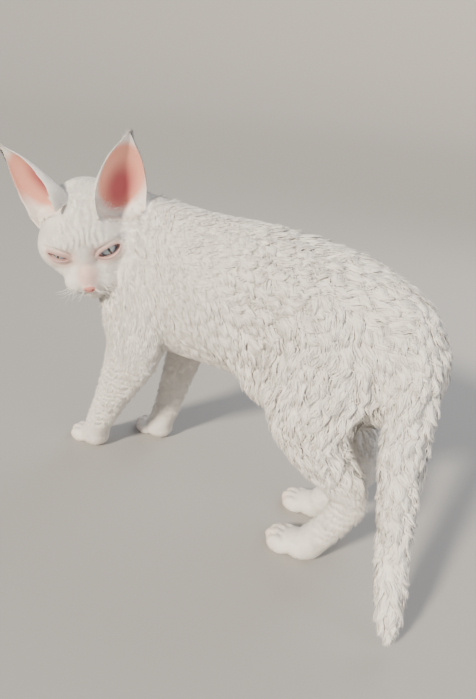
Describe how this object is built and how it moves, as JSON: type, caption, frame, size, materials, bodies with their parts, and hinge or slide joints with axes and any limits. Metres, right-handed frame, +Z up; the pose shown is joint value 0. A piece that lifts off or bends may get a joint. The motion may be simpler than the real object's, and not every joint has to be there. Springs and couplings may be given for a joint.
{
  "type": "devon rex cat",
  "caption": "Still, life-size model of a young white devon rex cat that stands on four feet and looks back over its left shoulder, tail hanging.",
  "frame": {"origin": "on the floor, under the middle of the whole cat's box", "axes": "+Z up; the body's length lies along Y with the chest towards -Y and the tail towards +Y; +X is the cat's left"},
  "size_m": [0.1465, 0.3793, 0.2936],
  "materials": {
    "coat": "soft short white coat",
    "ear_skin": "bare pink skin",
    "eye_blue": "wet, clear"
  },
  "bodies": {
    "root": {"head": "coat", "ear_left": "ear_skin", "ear_right": "ear_skin", "eye_left": "eye_blue", "eye_right": "eye_blue", "neck": "coat", "chest": "coat", "loin": "coat", "rump": "coat", "tail_root": "coat", "tail_middle": "coat", "tail_tip": "coat", "front_leg_left": "coat", "front_leg_right": "coat", "front_paw_left": "coat", "front_paw_right": "coat", "thigh_left": "coat", "thigh_right": "coat", "hock_left": "coat", "hock_right": "coat", "hind_paw_left": "coat", "hind_paw_right": "coat"}
  },
  "joints": []
}
